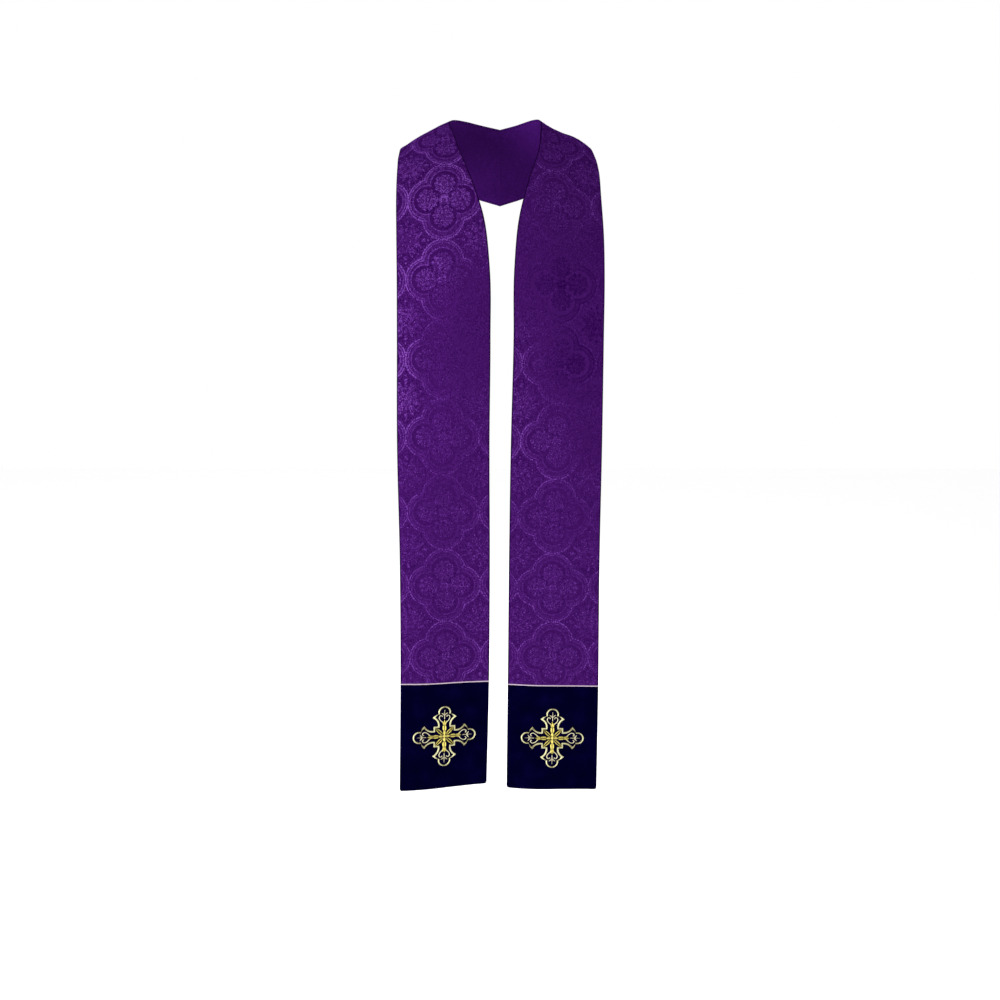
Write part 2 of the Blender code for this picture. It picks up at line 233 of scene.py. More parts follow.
class Strip:
    """One side of the stole, as a smooth surface through its sections.

    along runs in metres from the nape seam down the strip's middle, and part from 0 at the
    inner edge to 1 at the outer edge.
    """

    def __init__(self, side):
        self.rows = [
            [value * MM for value in (*row[INNER], *row[OUTER], row[BOW], row[ROLL])]
            for row in SECTIONS[side]
        ]
        middles = [(Vector(row[0:3]) + Vector(row[3:6])) / 2 for row in self.rows]
        self.knots = [0.0]
        for before, after in zip(middles, middles[1:]):
            self.knots.append(self.knots[-1] + (after - before).length)
        self.slopes = [self.slope_at(i) for i in range(len(self.rows))]
        self.length = self.knots[-1]
        self.seam = self.length - BAND_HEIGHT
        self.side = 1.0 if self.rows[-1][3] > 0 else -1.0

    def slope_at(self, i):
        rates, steps = [], []
        for a in (i - 1, i):
            if 0 <= a < len(self.rows) - 1:
                step = self.knots[a + 1] - self.knots[a]
                rates.append([(q - p) / step for p, q in zip(self.rows[a], self.rows[a + 1])])
                steps.append(step)
        if len(rates) == 1:
            return rates[0]
        nearness = steps[1] / sum(steps)
        return [p * nearness + q * (1 - nearness) for p, q in zip(*rates)]

    def section(self, along):
        along = min(max(along, 0.0), self.length)
        i = 0
        while i < len(self.knots) - 2 and along > self.knots[i + 1]:
            i += 1
        step = self.knots[i + 1] - self.knots[i]
        t = (along - self.knots[i]) / step
        weighted = (
            (2 * t**3 - 3 * t**2 + 1, self.rows[i]),
            ((t**3 - 2 * t**2 + t) * step, self.slopes[i]),
            (-2 * t**3 + 3 * t**2, self.rows[i + 1]),
            ((t**3 - t**2) * step, self.slopes[i + 1]),
        )
        values = [sum(weight * row[k] for weight, row in weighted) for k in range(8)]
        return Vector(values[0:3]), Vector(values[3:6]), values[6], values[7]

    def frame(self, along):
        """(inner edge, outer edge, bow, roll, unit vector away from the wearer)."""
        inner, outer, bow, roll = self.section(along)
        above_inner, above_outer, _, _ = self.section(along - PROBE)
        below_inner, below_outer, _, _ = self.section(along + PROBE)
        down = below_inner + below_outer - above_inner - above_outer
        return inner, outer, bow, roll, down.cross(outer - inner).normalized() * self.side

    def place(self, row, part):
        """Point of the outer face on a section's frame."""
        inner, outer, bow, roll, outward = row
        out = bow * 4 * part * (1 - part) + roll * math.sin(2 * math.pi * part)
        return inner.lerp(outer, part) + outward * out

    def point(self, along, part, lift=0.0):
        """Point at a height over the outer face."""
        above, here, below = (self.frame(along + step) for step in (-PROBE, 0.0, PROBE))
        down = self.place(below, part) - self.place(above, part)
        over = self.place(here, min(part + PROBE_PART, 1.0))
        over -= self.place(here, max(part - PROBE_PART, 0.0))
        return self.place(here, part) + down.cross(over).normalized() * self.side * lift

    def on_band(self, across, up, lift):
        """Point over the velvet end, from its middle."""
        along = self.length - BAND_HEIGHT / 2 - up
        inner, outer, _, _ = self.section(along)
        return self.point(along, 0.5 + self.side * across / (outer - inner).length, lift)


def spread(start, end, step):
    count = max(1, round((end - start) / step))
    return [start + (end - start) * i / count for i in range(count + 1)]


def rounded_spread(start, end, step, radius):
    """Distances from start to end, with a few close ones that round each end over."""
    turn = [radius * (1 - math.cos(math.pi / 2 * i / ROUND_STEPS)) for i in range(ROUND_STEPS)]
    middle = spread(start + radius, end - radius, step)
    return [start + t for t in turn] + middle + [end - t for t in reversed(turn)]


def edge_drop(across, along, radius):
    """How far the face falls at a distance from the two nearest edges of the wall."""
    x, y = max(radius - across, 0.0), max(radius - along, 0.0)
    return radius - math.sqrt(max(radius**2 - x**2 - y**2, 0.0))


def crease_height(creases, along, part, width):
    total = 0.0
    for at, place, half_run, half_width, height, heading in creases:
        down, over = along - at * MM, (part - place) * width
        if abs(down) > CREASE_RUN:
            continue
        turn = math.radians(heading)
        a = (down * math.cos(turn) + over * math.sin(turn)) / (half_run * MM)
        b = (over * math.cos(turn) - down * math.sin(turn)) / (half_width * MM)
        if a * a + b * b < CREASE_SIZES**2:
            total += height * MM * math.exp(-a * a - b * b)
    return total


def folded(value, period):
    """Distance from a place to the nearest whole number of periods."""
    return abs((value / period + 0.5) % 1.0 - 0.5) * period


def smooth(low, high, value):
    t = min(max((value - low) / (high - low), 0.0), 1.0)
    return t * t * (3 - 2 * t)


def figure_height(x, y):
    """Height of the woven figure, from 0 on the ground to about 1, at a place in the cloth."""
    x, y = folded(x, REPEAT[0]), folded(y, REPEAT[1])
    inside = LOBE - min(math.hypot(x - SIDE_LOBE, y), math.hypot(x, y - TOP_LOBE))
    within = RING - min(math.hypot(x - SIDE_RING, y), math.hypot(x, y - TOP_RING))
    height = smooth(*BAND_RISE, inside) * smooth(*RING_FALL, within)
    height *= smooth(*MIDDLE_RISE, math.hypot(x, y))
    for cx, cy, bud, whorls in FLOWERS:
        u, v = x / MM - cx, y / MM - cy
        reach, turn = math.hypot(u, v), math.atan2(v, u)
        height = max(height, smooth(bud, bud * BUD_TOP, reach))
        for at, count, petal in whorls:
            if abs(reach - at) < petal:
                fold = folded(turn, 2 * math.pi / count)
                away = math.hypot(reach * math.cos(fold) - at, reach * math.sin(fold))
                height = max(height, smooth(petal, petal * PETAL_TOP, away))
    if inside < 0:
        for cx, cy, half_run, half_width, heading in LEAVES:
            u, v = x - cx * MM, y - cy * MM
            if abs(u) + abs(v) > LEAF_REACH:
                continue
            c, s = math.cos(math.radians(heading)), math.sin(math.radians(heading))
            reach = math.hypot((u * c + v * s) / half_run, (v * c - u * s) / half_width) / MM
            height = max(height, LEAF_HEIGHT * smooth(*LEAF_SLOPE, reach))
    return height


# Painted sheen at a place: the level all over, plus each patch.
def sheen_at(level, patches, along, part, width):
    for at, place, half_run, half_width, amount in patches:
        down, over = (along / MM - at) / half_run, (part - place) * width / MM / half_width
        level += amount * math.exp(-down * down - over * over)
    return level


def pulled(pulls, down):
    """How far the weave's figure is moved aside and down, in metres."""
    aside, further = 0.0, 0.0
    for held, gone, across, along in pulls:
        share = MM * (1 - smooth(held, gone, down / MM))
        aside += across * share
        further += along * share
    return aside, further


def set_material(verts, index):
    for face in {face for vert in verts for face in vert.link_faces}:
        face.material_index = index


def lay_grain(shape, grain):
    """Writes each point's place in its cloth or thread into the piece's own map."""
    uv = shape.loops.layers.uv.new("grain")
    for face in shape.faces:
        for loop in face.loops:
            loop[uv].uv = grain[loop.vert]


def close_up(shape):
    rims = [edge for edge in shape.edges if edge.is_boundary]
    bmesh.ops.holes_fill(shape, edges=rims)
    bmesh.ops.recalc_face_normals(shape, faces=shape.faces)


def as_piece(name, shape, materials):
    mesh = bpy.data.meshes.new(name)
    shape.to_mesh(mesh)
    shape.free()
    mesh.shade_smooth()
    for material in materials:
        mesh.materials.append(material)
    piece = bpy.data.objects.new(name, mesh)
    bpy.context.scene.collection.objects.link(piece)
    return piece


def laid_out(shape, strip, stations, frames, count, inset, is_face):
    """One side of a wall on the strip's plain form: a table of its points, and for each row
    the strip's width, the inset, and how far across the points lie."""
    last = len(stations) - 1
    grid = bmesh.ops.create_grid(shape, x_segments=count, y_segments=last, size=0.5)
    table = [[None] * (count + 1) for _ in stations]
    for vert in grid["verts"]:
        table[round((vert.co.y + 0.5) * last)][round((vert.co.x + 0.5) * count)] = vert
    rows = []
    for along, row, verts in zip(stations, frames, table):
        width = (row[1] - row[0]).length
        edge = inset(along)
        if is_face:
            run = (width - 2 * edge - CLOTH) / (count - 2 * ROUND_STEPS)
            shares = rounded_spread(edge, width - edge, run, CLOTH / 2)
        else:
            shares = spread(edge, width - edge, (width - 2 * edge) / count)
        rows.append((width, edge, shares))
        for vert, share in zip(verts, shares):
            vert.co = strip.place(row, share / width)
    return table, rows


def woven(table, rows, stations, origin, pulls):
    """Each point's place in the weave, in metres across from the outer edge and down."""
    grain = {}
    start = min(range(len(stations)), key=lambda i: abs(stations[i] - GRAIN_FROM))
    for j in range(len(table[0])):
        for step, order in ((1, range(start, len(stations))), (-1, range(start - 1, -1, -1))):
            down = stations[start]
            for i in order:
                width, _, shares = rows[i]
                across = width - shares[j]
                if i != start:
                    near = i - step
                    apart = (table[i][j].co - table[near][j].co).length
                    over = across - (rows[near][0] - rows[near][2][j])
                    down += step * math.sqrt(max(apart**2 - over**2, 0.0))
                aside, further = pulled(pulls, down)
                grain[table[i][j]] = (across - origin[0] - aside, down - origin[1] - further)
    return grain


def cloth_wall(name, strip, stations, columns, inset, lift, materials,
               origin=(0.0, 0.0), pulls=(), painted_sheen=(1.0, ())):
    """Closed wall of cloth with rounded edges, and its grain as a UV map in metres.

    inset(along) moves both long edges in, and lift(along, part, width, across, down) is the
    face's height over the plain form. The reverse has the same rows but few columns.
    """
    shape = bmesh.new()
    rim_layer = shape.verts.layers.float.new("rim")
    sheen_layer = shape.verts.layers.float.new("painted_sheen")
    frames = [strip.frame(along) for along in stations]
    middle = len(stations) // 2
    first = stations[0] if stations[0] > 0.0 else -1.0  # the nape's end isn't rounded over
    grain = {}
    long_edges = []
    for is_face, count in ((True, columns), (False, REVERSE_COLUMNS)):
        table, rows = laid_out(shape, strip, stations, frames, count, inset, is_face)
        grain.update(woven(table, rows, stations, origin, pulls))
        shape.normal_update()
        normals = [[vert.normal.copy() for vert in verts] for verts in table]
        facing = math.copysign(1.0, normals[middle][count // 2].dot(frames[middle][4]))
        for along, (width, edge, shares), verts, outward in zip(stations, rows, table, normals):
            end = max(min(along - first, stations[-1] - along), 0.0)
            for vert, share, normal in zip(verts, shares, outward):
                part = share / width
                rim = max(min(share - edge, width - edge - share), 0.0)
                vert[rim_layer] = rim
                # The painted sheen, which the brocade face turns into colour.
                vert[sheen_layer] = sheen_at(*painted_sheen, along, part, width)
                drop = edge_drop(rim, end, CLOTH / 2)
                if is_face:
                    rise = lift(along, part, width, *grain[vert]) - drop
                else:
                    rise = lift(along, part, width, None, None) + drop - CLOTH
                vert.co += normal * facing * rise
                if along <= 0.0:
                    vert.co.x = 0.0
        long_edges += [verts[0] for verts in table] + [verts[-1] for verts in table]
        set_material([vert for verts in table for vert in verts], 0 if is_face else 1)
    lay_grain(shape, grain)
    bmesh.ops.remove_doubles(shape, verts=long_edges, dist=SEAM_MERGE)
    close_up(shape)
    return as_piece(name, shape, materials)


class Nodes:
    """A material's node tree, with the few calls that the patterns here are built from."""

    LINE_FULL = 0.35  # the share of a line's half width over which it is full

    def __init__(self, name):
        self.material = bpy.data.materials.new(name)
        self.material.use_nodes = True
        self.tree = self.material.node_tree
        self.shader = self.tree.nodes["Principled BSDF"]

    def add(self, kind, *inputs, output=0, **settings):
        made = self.tree.nodes.new(kind)
        for key, value in settings.items():
            setattr(made, key, value)
        for socket, value in zip(made.inputs, inputs):
            self.put(socket, value)
        return made.outputs[output]

    def put(self, socket, value):
        if isinstance(value, bpy.types.NodeSocket):
            self.tree.links.new(value, socket)
        elif value is not None:
            socket.default_value = value

    def math(self, operation, *inputs):
        return self.add("ShaderNodeMath", *inputs, operation=operation)

    def minus(self, first, second):
        return self.math("SUBTRACT", first, second)

    def times(self, first, second):
        return self.math("MULTIPLY", first, second)

    def scaled(self, value, by, plus):
        return self.math("MULTIPLY_ADD", value, by, plus)

    def folded(self, value, half_period):
        return self.math("PINGPONG", value, half_period)

    def wave(self, value, pitch):
        return self.math("SINE", self.times(value, 2 * math.pi / pitch))

    def least(self, first, *others):
        for other in others:
            first = self.math("MINIMUM", first, other)
        return first

    def most(self, first, *others):
        for other in others:
            first = self.math("MAXIMUM", first, other)
        return first

    def grain(self):
        """The cloth's own map, and its two directions, in metres."""
        place = self.add("ShaderNodeUVMap", uv_map="grain")
        split = self.add("ShaderNodeSeparateXYZ", place).node
        return place, split.outputs[0], split.outputs[1]

    def attribute(self, name):
        return self.add("ShaderNodeAttribute", attribute_name=name, output=2)

    def point(self, x, y):
        return self.add("ShaderNodeCombineXYZ", x, y, 0.0)

    def far(self, place, centre):
        return self.add("ShaderNodeVectorMath", place, centre, operation="DISTANCE", output=1)

    def drawn_out(self, place, share):
        """A place whose patterns are drawn out along the strip."""
        return self.add("ShaderNodeMapping", place, None, None, (1.0, share, 1.0))

    def uneven(self, place, scale, detail, roughness, output=0):
        return self.add("ShaderNodeTexNoise", place, None, scale, detail, roughness, output=output)

    def fade(self, value, low, high):
        """0 at low and 1 at high, smoothly."""
        return self.add("ShaderNodeMapRange", value, low, high, 0.0, 1.0,
                        interpolation_type="SMOOTHSTEP")

    def line(self, distance, at, half_width):
        """1 on a line at a distance, fading to 0 at its half width on both sides."""
        away = self.math("ABSOLUTE", self.minus(distance, at))
        return self.fade(away, half_width, half_width * self.LINE_FULL)

    def mixed(self, share, dark, light):
        made = self.add("ShaderNodeMix", data_type="RGBA", output=2)
        for index, value in ((0, share), (6, dark), (7, light)):
            colour = (*value, 1.0) if isinstance(value, tuple) else value
            self.put(made.node.inputs[index], colour)
        return made

    def ramp(self, value, stops):
        """Colours one after another, each at its own value."""
        made = self.add("ShaderNodeValToRGB", value)
        colours = made.node.color_ramp.elements
        for i, (at, colour) in enumerate(stops):
            stop = colours[i] if i < 2 else colours.new(at)
            stop.position = at
            stop.color = (*colour, 1.0)
        return made

    def finish(self, colour, roughness, relief, strength, depth, constants=()):
        """The material, once its colour, roughness and fine relief reach the shader."""
        bump = self.tree.nodes.new("ShaderNodeBump")
        for name, value in (("Strength", strength), ("Distance", depth), ("Height", relief)):
            self.put(bump.inputs[name], value)
        joined = (("Base Color", colour), ("Roughness", roughness), ("Normal", bump.outputs[0]))
        for name, value in (*joined, *constants):
            self.put(self.shader.inputs[name], value)
        return self.material


# The weave, from its finest to its broadest: scales of its unevenness, and how far the
# grit and the single yarns are drawn out along the strip.
THREAD_PITCH = 0.00055
YARN_SCALE, GRIT_SCALE, FLOAT_SCALE, DRIFT_SCALE = 2300.0, 640.0, 620.0, 34.0
YARN_DRAWN, GRIT_DRAWN = 0.34, 0.68
RAGGED, RAGGED_SCALE = 0.0031, 330.0  # how far the stepped edges of petals and leaves wander
# The plain cloth's tone, and the painted sheen's share: how much lighter the cloth is painted where
# the light is painted in clearly.
PLAIN_TONE, SHEEN_TONE = 0.38, 0.06  # of the plain cloth, and what showing clearly adds
GRIT_SHARE, GLINT_SHARE, YARN_SHARE, THREAD_SHARE = 1.30, 0.70, 0.62, 0.09
PURPLES = (
    (0.00, (0.0080, 0.0000, 0.0285)),
    (0.40, (0.0260, 0.0031, 0.0562)),
    (0.70, (0.0485, 0.0086, 0.1080)),
    (1.00, (0.1260, 0.0390, 0.2400)),
)
# Painted shade along the long edges, where the cloth turns away from the light: its purple, full
# within the first distance of the edge and gone past the second.
EDGE_SHADE_PURPLE, EDGE_SHADE_SPAN = (0.0060, 0.0008, 0.0160), (0.0010, 0.0030)
# Where each part of the figure begins and is full: how far inside the lobes or the ring,
# or from the quatrefoil's centre. Less than nought is outside.
SECOND_ENDS, OUTER_BEADS_END = (0.0, -0.0010), (-0.0030, -0.0045)  # of the next lobes
BAND_BEADS_END = (-0.0010, -0.0026)
RING_SHOWS, RING_FROM = (-0.0002, 0.0012), (0.028, 0.044)
SEAMS_SHOW, SEAMS_FROM = (0.000, 0.004), (0.044, 0.028)  # the gaps between petals
LEAVES_CLEAR, GROUND_CLEAR = (-0.0008, -0.0024), (-0.0016, -0.0040)
RING_CLEARS, SEAMS_CLEAR = (0.7, 0.0), (0.7, 0.1)  # in parts of a petal's tone
SATIN = (
    ("Metallic", 0.18),
    ("Specular IOR Level", 0.0),
    ("Specular Tint", (0.55, 0.22, 0.85, 1.0)),
)


def brocade_face():
    n = Nodes("brocade_face")
    grain, across, down = n.grain()
    x = n.folded(across, REPEAT[0] / 2)
    y = n.folded(down, REPEAT[1] / 2)
    place = n.point(x, y)

    # The quatrefoils: their outlines, the line round their rings, and beads in the bands.
    side = n.far(place, (SIDE_LOBE, 0, 0))
    top = n.far(place, (0, TOP_LOBE, 0))
    inside = n.minus(LOBE, n.least(side, top))
    next_side = n.far(place, (REPEAT[0] - SIDE_LOBE, 0, 0))
    next_top = n.far(place, (0, REPEAT[1] - TOP_LOBE, 0))
    beyond = n.minus(LOBE, n.least(next_side, next_top))
    within = n.minus(RING, n.least(n.far(place, (SIDE_RING, 0, 0)), n.far(place, (0, TOP_RING, 0))))
    outline = n.most(n.line(inside, *EDGE_LINE), n.line(beyond, *EDGE_LINE))
    second = n.times(n.line(inside, *SECOND_LINE), n.fade(beyond, *SECOND_ENDS))
    gap = n.line(inside, *GAP_LINE)
    inner_line = n.line(within, *INNER_LINE)
    side_turn = n.math("ARCTAN2", y, n.minus(x, SIDE_LOBE))
    top_turn = n.math("ARCTAN2", n.minus(y, TOP_LOBE), x)
    on_top = n.math("LESS_THAN", top, side)
    turn = n.scaled(on_top, n.minus(top_turn, side_turn), side_turn)
    beads = []
    for at in BEADS:
        along_band = n.folded(n.times(turn, LOBE - at), BEAD_PITCH / 2)
        from_bead = n.far(n.point(along_band, n.minus(inside, at)), (0, 0, 0))
        beads.append(n.fade(from_bead, *BEAD))
    band_beads = n.times(beads[0], n.fade(within, *BAND_BEADS_END))
    outer_beads = n.times(beads[1], n.fade(beyond, *OUTER_BEADS_END))

    # The flowers, with the stepped edges that a woven figure has.
    wander = n.uneven(grain, RAGGED_SCALE, 1.0, 0.5, output=1)
    ragged = n.add("ShaderNodeVectorMath", wander, (RAGGED, RAGGED, 0), place,
                   operation="MULTIPLY_ADD")
    ragged_x, ragged_y, _ = n.add("ShaderNodeSeparateXYZ", ragged).node.outputs
    petals = []
    for cx, cy, bud, whorls in FLOWERS:
        cx, cy = cx * MM + RAGGED / 2, cy * MM + RAGGED / 2
        reach = n.far(ragged, (cx, cy, 0))
        turn = n.math("ARCTAN2", n.minus(ragged_y, cy), n.minus(ragged_x, cx))
        petals.append(n.fade(reach, *(bud * MM * part for part in BUD_DRAWN)))
        for at, count, petal in whorls:
            fold = n.folded(turn, math.pi / count)
            u = n.times(reach, n.math("COSINE", fold))
            v = n.times(reach, n.math("SINE", fold))
            away = n.far(n.point(u, v), (at * MM, 0, 0))
            petals.append(n.fade(away, *(petal * MM * part for part in PETAL_DRAWN)))
    flowers = n.most(*petals)
    from_centre = n.far(place, (0, 0, 0))
    ring = n.times(n.fade(within, *RING_SHOWS), n.fade(flowers, *RING_CLEARS))
    ring = n.times(ring, n.fade(from_centre, *RING_FROM))
    seams = n.times(n.fade(within, *SEAMS_SHOW), n.fade(flowers, *SEAMS_CLEAR))
    seams = n.times(seams, n.fade(from_centre, *SEAMS_FROM))

    # The leaves and dots of the ground, and the ribs where two quatrefoils meet.
    reaches = []
    for cx, cy, half_run, half_width, heading in LEAVES:
        leaf = n.add("ShaderNodeMapping", ragged, (cx * MM + RAGGED / 2, cy * MM + RAGGED / 2, 0),
                     (0, 0, math.radians(heading)), (half_run * MM, half_width * MM, 1),
                     vector_type="TEXTURE")
        reaches.append(n.add("ShaderNodeVectorMath", leaf, operation="LENGTH", output=1))
    leaves = n.times(n.fade(n.least(*reaches), *LEAF_DRAWN), n.fade(inside, *LEAVES_CLEAR))
    ground = n.fade(n.most(flowers, leaves), *SEAMS_CLEAR)
    ground = n.times(n.fade(inside, *GROUND_CLEAR), ground)
    joint = n.minus(REPEAT[1] / 2, y)
    ribs = n.times(n.fade(x, *RIBS_ACROSS), n.fade(joint, *RIBS_DOWN))
    ribs = n.times(ribs, n.math("COSINE", n.times(x, 2 * math.pi / RIB_PITCH)))

    # The weave: its grit, its broken floats with painted glints on them, and a slow drift.
    thread = n.drawn_out(grain, GRIT_DRAWN)
    grit = n.uneven(thread, GRIT_SCALE, 2.0, 0.75)
    yarn = n.uneven(n.drawn_out(grain, YARN_DRAWN), YARN_SCALE, 1.0, 0.5)
    drift = n.scaled(n.uneven(grain, DRIFT_SCALE, 2.0, 0.5), 1.4, 0.3)
    float_cells = n.add("ShaderNodeTexVoronoi", thread, None, FLOAT_SCALE).node
    off_float = float_cells.outputs["Distance"]
    chance, tint, _ = n.add("ShaderNodeSeparateXYZ", float_cells.outputs["Color"]).node.outputs
    floats = n.scaled(n.minus(tint, 0.5), 0.15, n.scaled(off_float, -0.18, 0.08))
    glint = n.times(n.fade(chance, 0.76, 0.94), n.fade(off_float, 0.55, 0.10))

    # All of it as one tone, from the deepest purple to a glint.
    figure = n.most(flowers, leaves, outline)
    figures = 0.0
    for part, share in ((second, 0.32), (inner_line, 0.26), (band_beads, 0.09),
                        (outer_beads, 0.18), (flowers, 0.16), (leaves, 0.20), (ribs, 0.08),
                        (gap, -0.12), (ring, -0.15), (seams, -0.12), (ground, -0.10)):
        figures = n.scaled(part, share, figures)
    # Painted sheen: where the light is painted to catch the satin, the figure stands out, the plain
    # cloth is lighter, and the outlines and grit are stronger. Below nought the figure turns over.
    painted_sheen = n.attribute("painted_sheen")
    sheen_lit = n.most(painted_sheen, 0.0)
    plain = n.scaled(painted_sheen, SHEEN_TONE, PLAIN_TONE)
    tone = n.scaled(figures, n.times(painted_sheen, drift), plain)
    lines = n.times(n.most(painted_sheen, n.times(painted_sheen, -0.35)), drift)
    broken = n.scaled(n.fade(grit, 0.38, 0.60), 0.42, 0.19)
    tone = n.scaled(n.times(outline, broken), lines, tone)
    coarse = n.scaled(figure, 0.30, n.scaled(ring, -0.45, 0.95))
    grit = n.times(n.scaled(n.minus(grit, 0.5), 0.85, floats), coarse)
    grit = n.times(grit, n.scaled(sheen_lit, 0.55, 0.95))
    tone = n.scaled(grit, GRIT_SHARE, tone)
    # Painted glints: bright specks on the floats, where the painted sheen is on.
    sparkle = n.times(n.times(glint, sheen_lit), n.scaled(figure, 0.7, 0.3))
    tone = n.scaled(sparkle, GLINT_SHARE, tone)
    tone = n.scaled(n.minus(yarn, 0.5), YARN_SHARE, tone)
    warp = n.wave(across, THREAD_PITCH)
    weft = n.wave(down, THREAD_PITCH)
    threads = n.scaled(n.minus(weft, warp), figure, warp)
    tone = n.scaled(threads, THREAD_SHARE, tone)
    tone = n.most(n.least(tone, 1.0), 0.0)
    # Painted shade: the colour falls to the edge's purple near the long edges.
    edge = n.fade(n.attribute("rim"), *EDGE_SHADE_SPAN)
    colour = n.mixed(edge, EDGE_SHADE_PURPLE, n.ramp(tone, PURPLES))
    return n.finish(colour, n.scaled(tone, -0.26, 0.62), tone, 0.6, 0.0004, SATIN)


FELLED, STITCH = 0.0032, 0.0060  # how far in the reverse is felled, and its stitches' pitch
# Half widths of the painted shade line in the fold of the felled edge, and of its stitches.
FOLD_SHADE_HALF, STITCH_HALF = 0.0009, 0.0012
STITCH_RUN = (0.0009, 0.0004)  # from a stitch's middle, where it ends and is full
TWILL_PITCH, SLUB_SCALE, PRESSING_SCALE = 0.0011, 420.0, 17.0
REVERSE_DARK, REVERSE_LIGHT = (0.011, 0.0010, 0.030), (0.042, 0.0054, 0.100)


def brocade_reverse():
    n = Nodes("brocade_reverse")
    grain, across, down = n.grain()
    twill = n.wave(n.math("ADD", across, down), TWILL_PITCH)
    slub = n.uneven(n.drawn_out(grain, 0.35), SLUB_SCALE, 3.0, 0.6)
    pressing = n.uneven(grain, PRESSING_SCALE, 2.0, 0.5)
    tone = n.scaled(n.minus(pressing, 0.5), 0.5, n.scaled(twill, 0.10, slub))
    rim = n.attribute("rim")
    # Painted shade: a dark line along the fold of the felled edge.
    fold = n.line(rim, FELLED, FOLD_SHADE_HALF)
    between = n.folded(down, STITCH / 2)
    stitches = n.times(n.line(rim, FELLED, STITCH_HALF), n.fade(between, *STITCH_RUN))
    tone = n.scaled(stitches, 1.1, n.scaled(fold, -0.55, tone))
    tone = n.most(n.least(tone, 1.0), 0.0)
    colour = n.mixed(tone, REVERSE_DARK, REVERSE_LIGHT)
    return n.finish(colour, 0.6, tone, 0.4, 0.0002, [("Specular IOR Level", 0.0)])


strips = {side: Strip(side) for side in SECTIONS}
brocade_materials = (brocade_face(), brocade_reverse())
for side, strip in strips.items():
    def panel_lift(along, part, width, across, down, creases=CREASES[side]):
        height = crease_height(creases, along, part, width)
        height -= NAPE_DIP * math.exp(-((along / NAPE_RUN) ** 2))
        if across is None:
            return height
        rim = min(part, 1 - part) * width
        return height + FIGURE_HEIGHT * figure_height(across, down) * smooth(*FIGURE_EDGE, rim)

    stations = rounded_spread(0.0, strip.seam - PIPING_DIAMETER / 2, FACE_STEP, CLOTH / 2)
    panel = cloth_wall(f"brocade_panel_{side}", strip, stations, FACE_COLUMNS, lambda along: 0.0,
                       panel_lift, brocade_materials, REPEAT_AT[side], PULLS[side], SHEEN_LEVELS[side])
    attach(panel, "root")
    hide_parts(f"panel_{side}")

# ----------
# The velvet ends. Near-black violet velvet with a short upright pile, over the same
# stiffening, seamed to the brocade under the piping. The sides and the hem are turned to
# the back, so the lower corners are a little round, and the reverse is the plain cloth.
PILE_STEP = 0.0016
PILE_COLUMNS = 100
PILE_HEIGHT, PILE_SCALE = 0.00016, 260  # how far the pile lies uneven, and how finely
HAIR_SCALE, NAP_SCALE = 1500.0, 26.0  # of its look, hair by hair and as it is brushed
CORNER_RADIUS = 0.0045
CROSS_REACH = 0.058  # centre of the cross to the tip of an arm
STITCH_DIP = 0.0005  # how far the embroidery pulls the velvet in round itself
DIP_BEGINS, DIP_FULL = 1.25 * CROSS_REACH, 0.7 * CROSS_REACH
VIOLETS = (
    (0.25, (0.0001, 0.0001, 0.0030)),
    (0.60, (0.0004, 0.0002, 0.0095)),
    (0.85, (0.0030, 0.0009, 0.0280)),
)
PILE_SHEEN = (
    ("Specular IOR Level", 0.0),
    ("Sheen Weight", 0.012),
    ("Sheen Roughness", 0.30),
    ("Sheen Tint", (0.22, 0.12, 0.75, 1.0)),
)


def velvet_face():
    n = Nodes("velvet_face")
    grain, _, _ = n.grain()
    pile = n.uneven(grain, HAIR_SCALE, 2.0, 0.6)
    nap = n.scaled(n.uneven(grain, NAP_SCALE, 3.0, 0.55), 0.65, 0.16)
    tone = n.scaled(n.minus(pile, 0.5), 0.9, nap)
    return n.finish(n.ramp(tone, VIOLETS), 0.95, pile, 0.5, 0.0004, PILE_SHEEN)


def stitch_dip(reach):
    """How far the velvet is pulled in, at a distance from the centre of its cross."""
    return STITCH_DIP * smooth(DIP_BEGINS, DIP_FULL, reach)


velvet_materials = (velvet_face(), brocade_materials[1])
for side, strip in strips.items():
    def corner_inset(along, hem=strip.length):
        return edge_drop(hem - along, CORNER_RADIUS, CORNER_RADIUS)

    def velvet_lift(along, part, width, across, down, strip=strip):
        up = strip.length - BAND_HEIGHT / 2 - along
        dip = stitch_dip(math.hypot((part - 0.5) * width, up))
        if across is None:
            return -dip
        return PILE_HEIGHT * noise.noise(Vector((across, down, strip.side)) * PILE_SCALE) - dip

    stations = rounded_spread(strip.seam + PIPING_DIAMETER / 2, strip.length, PILE_STEP, CLOTH / 2)
    band = cloth_wall(f"velvet_end_{side}", strip, stations, PILE_COLUMNS, corner_inset,
                      velvet_lift, velvet_materials)
    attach(band, "root")
    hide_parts(f"band_{side}")

# ----------
# The piping. A fine twisted satin cord, dull pink ivory, sewn to a narrow purple tape that
# is caught in the seam between the brocade and the velvet. Both are cut off level with the
# strip's edges, and the tape covers the seam from behind.
PIPING_STEP = 0.0004
PIPING_ROUND = 18
PLIES = 3
PLY_DEPTH = 0.00028
TWIST = 0.0062  # length of one turn
CORD_END = (-0.0001, 0.0011)  # its cut ends round over between these distances
TAPE_HALF, TAPE = 0.0030, 0.0005  # the tape's half width and how far it stands off the reverse
TAPE_STEP = 0.004
# Round the tape, in parts of those two: along its back, then home inside the strip.
TAPE_PROFILE = ((-1, 0.02), (-0.8, 0.8), (-0.3, 1), (0.3, 1), (0.8, 0.8), (1, 0.02), (0, -0.2))


FIBRE_SCALE, CORD_DARK, CORD_LIGHT = 900.0, (0.19, 0.135, 0.175), (0.44, 0.345, 0.44)


